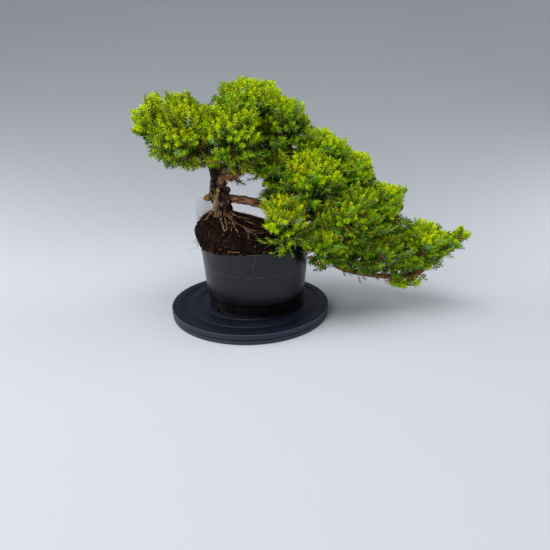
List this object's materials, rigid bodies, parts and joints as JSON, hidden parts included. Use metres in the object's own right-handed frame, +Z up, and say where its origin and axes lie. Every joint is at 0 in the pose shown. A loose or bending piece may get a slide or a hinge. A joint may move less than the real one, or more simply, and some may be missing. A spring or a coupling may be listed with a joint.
{
  "type": "potted cascading juniper bonsai",
  "caption": "Juniper bonsai whose foliage cascades to one side of a short leaning trunk, in a cut-down plastic nursery pot on a round turntable.",
  "frame": {"origin": "centre of the turntable's flat underside", "axes": "+Z up, +X towards the tip of the cascade, the plant's front faces -Y"},
  "size_m": [0.4639, 0.23, 0.3183],
  "materials": {
    "bark": "rough flaking reddish-brown juniper bark",
    "foliage": "short needles, lime yellow-green at the shoot tips and dark blue-green inside",
    "pot": "thin black plastic, satin, dusty, lightly scratched",
    "turntable": "black moulded plastic, satin, with shallow concentric ribs",
    "soil": "moist dark brown fibrous compost and fine roots",
    "label": "white blank plastic, slightly translucent"
  },
  "bodies": {
    "root": {"turntable_base": "turntable", "turntable_top": "turntable", "pot": "pot", "root_ball": "soil", "plant_label": "label", "trunk": "bark", "bough_left": "bark", "bough_upper": "bark", "bough_low": "bark", "bough_cascade": "bark", "bough_tail": "bark", "bough_shoulder": "bark", "bough_middle": "bark", "side_bough_left_front": "bark", "side_bough_left_rear": "bark", "side_bough_upper_front": "bark", "side_bough_upper_right": "bark", "side_bough_upper_rear": "bark", "side_bough_inner": "bark", "side_bough_shoulder_front": "bark", "side_bough_shoulder_rear": "bark", "side_bough_shoulder_right": "bark", "side_bough_middle_front": "bark", "side_bough_middle_rear": "bark", "side_bough_middle_low": "bark", "side_bough_middle_under": "bark", "side_bough_tail_upper": "bark", "side_bough_tail_under": "bark", "side_bough_front_pad": "bark", "foliage_left_outer": "foliage", "foliage_left_front": "foliage", "foliage_left_rear": "foliage", "foliage_apex": "foliage", "foliage_upper_front": "foliage", "foliage_upper_right": "foliage", "foliage_upper_rear": "foliage", "foliage_inner": "foliage", "foliage_shoulder_top": "foliage", "foliage_shoulder_front": "foliage", "foliage_shoulder_rear": "foliage", "foliage_shoulder_right": "foliage", "foliage_middle_upper": "foliage", "foliage_middle_front": "foliage", "foliage_middle_rear": "foliage", "foliage_middle_low": "foliage", "foliage_middle_under": "foliage", "foliage_tail_upper": "foliage", "foliage_tail_tip": "foliage", "foliage_tail_under": "foliage", "foliage_front_pad": "foliage"}
  },
  "joints": []
}
